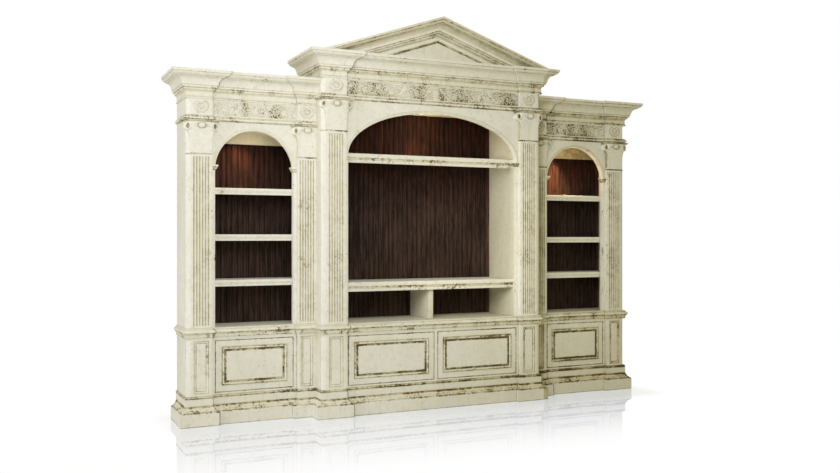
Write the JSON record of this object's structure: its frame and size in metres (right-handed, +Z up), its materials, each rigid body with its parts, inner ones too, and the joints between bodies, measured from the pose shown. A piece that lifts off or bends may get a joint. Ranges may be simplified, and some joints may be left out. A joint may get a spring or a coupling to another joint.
{
  "type": "entertainment center",
  "caption": "Tall painted wall cabinet with arched side bookcases, a forward television bay, fluted pilasters, scrolled capitals, cupboards below and a raking pediment.",
  "frame": {"origin": "middle of the footprint box at floor level", "axes": "+X to the right along the width, +Y to the back, +Z up; the front faces -Y"},
  "size_m": [3.922, 0.581, 2.9413],
  "materials": {
    "cream_paint": "distressed cream paint with a brown glaze",
    "dark_stain": "dark red-brown satin stain",
    "steel": "plain drawn steel",
    "latch_grey": "moulded, matt",
    "light_metal": "satin"
  },
  "bodies": {
    "cabinet": {"arch_shelf": "cream_paint", "centre_arch": "cream_paint", "centre_backboard": "dark_stain", "centre_base_frame": "cream_paint", "centre_ceiling": "cream_paint", "centre_entablature": "cream_paint", "centre_left_door_pivot": "steel", "centre_left_latch_case": "latch_grey", "centre_left_pier": "cream_paint", "centre_left_pilaster": "cream_paint", "centre_light": "light_metal", "centre_plinth": "cream_paint", "centre_right_door_pivot": "steel", "centre_right_latch_case": "latch_grey", "centre_right_pier": "cream_paint", "centre_right_pilaster": "cream_paint", "centre_waist": "cream_paint", "deck": "cream_paint", "deck_divider": "cream_paint", "left_arch": "cream_paint", "left_backboard": "dark_stain", "left_base_frame": "cream_paint", "left_ceiling": "cream_paint", "left_door_pivot": "steel", "left_entablature": "cream_paint", "left_inner_pilaster": "cream_paint", "left_latch_case": "latch_grey", "left_light": "light_metal", "left_lower_shelf": "cream_paint", "left_middle_shelf": "cream_paint", "left_outer_pilaster": "cream_paint", "left_plinth": "cream_paint", "left_side": "cream_paint", "left_upper_shelf": "cream_paint", "left_waist": "cream_paint", "pediment": "cream_paint", "right_arch": "cream_paint", "right_backboard": "dark_stain", "right_base_frame": "cream_paint", "right_ceiling": "cream_paint", "right_door_pivot": "steel", "right_entablature": "cream_paint", "right_inner_pilaster": "cream_paint", "right_latch_case": "latch_grey", "right_light": "light_metal", "right_lower_shelf": "cream_paint", "right_middle_shelf": "cream_paint", "right_outer_pilaster": "cream_paint", "right_plinth": "cream_paint", "right_side": "cream_paint", "right_upper_shelf": "cream_paint", "right_waist": "cream_paint"},
    "left_door": {"left_door": "cream_paint"},
    "left_latch_plunger": {"left_latch_plunger": "steel"},
    "right_door": {"right_door": "cream_paint"},
    "right_latch_plunger": {"right_latch_plunger": "steel"},
    "centre_left_door": {"centre_left_door": "cream_paint"},
    "centre_left_latch_plunger": {"centre_left_latch_plunger": "steel"},
    "centre_right_door": {"centre_right_door": "cream_paint"},
    "centre_right_latch_plunger": {"centre_right_latch_plunger": "steel"}
  },
  "joints": [
    {"name": "left_door_hinge", "type": "hinge", "parent": "cabinet", "child": "left_door", "pos_m": [-1.6376, -0.0185, 0.2155], "axis": [0, 0, -1], "range_deg": [0, 100]},
    {"name": "left_latch_push", "type": "slide", "parent": "cabinet", "child": "left_latch_plunger", "axis": [0, 1, 0], "range_m": [0, 0.003], "stiffness_N_per_m": 180, "springref_m": -0.002},
    {"name": "right_door_hinge", "type": "hinge", "parent": "cabinet", "child": "right_door", "pos_m": [1.6376, -0.0185, 0.2155], "axis": [0, 0, 1], "range_deg": [0, 100]},
    {"name": "right_latch_push", "type": "slide", "parent": "cabinet", "child": "right_latch_plunger", "axis": [0, 1, 0], "range_m": [0, 0.003], "stiffness_N_per_m": 180, "springref_m": -0.002},
    {"name": "centre_left_door_hinge", "type": "hinge", "parent": "cabinet", "child": "centre_left_door", "pos_m": [-0.701, -0.1455, 0.2155], "axis": [0, 0, -1], "range_deg": [0, 100]},
    {"name": "centre_left_latch_push", "type": "slide", "parent": "cabinet", "child": "centre_left_latch_plunger", "axis": [0, 1, 0], "range_m": [0, 0.003], "stiffness_N_per_m": 180, "springref_m": -0.002},
    {"name": "centre_right_door_hinge", "type": "hinge", "parent": "cabinet", "child": "centre_right_door", "pos_m": [0.701, -0.1455, 0.2155], "axis": [0, 0, 1], "range_deg": [0, 100]},
    {"name": "centre_right_latch_push", "type": "slide", "parent": "cabinet", "child": "centre_right_latch_plunger", "axis": [0, 1, 0], "range_m": [0, 0.003], "stiffness_N_per_m": 180, "springref_m": -0.002}
  ]
}
